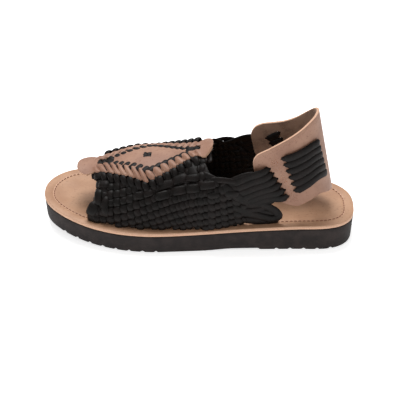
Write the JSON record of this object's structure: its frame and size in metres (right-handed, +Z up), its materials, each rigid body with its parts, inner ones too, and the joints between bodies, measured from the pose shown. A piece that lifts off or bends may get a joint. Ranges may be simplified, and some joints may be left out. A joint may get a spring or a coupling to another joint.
{
  "type": "woven leather sandal",
  "caption": "Open-toed left sandal with a woven leather vamp, a leather strip over the instep, a laced heel strap and a ripple sole.",
  "frame": {"origin": "on the floor, in the middle of the sole's length and width", "axes": "+X from toe to heel, +Y towards the inner side of the foot, +Z up"},
  "size_m": [0.28, 0.1059, 0.1212],
  "materials": {
    "sole_rubber": "matte",
    "natural_leather": "satin, vegetable tanned",
    "black_leather": "satin"
  },
  "bodies": {
    "root": {"outsole": "sole_rubber", "footbed": "natural_leather", "woven_vamp": "black_leather", "vamp_strip": "natural_leather", "heel_counter": "natural_leather", "counter_lace_1": "black_leather", "counter_lace_2": "black_leather", "counter_lace_3": "black_leather", "counter_lace_4": "black_leather", "counter_lace_5": "black_leather", "counter_lace_6": "black_leather"}
  },
  "joints": []
}
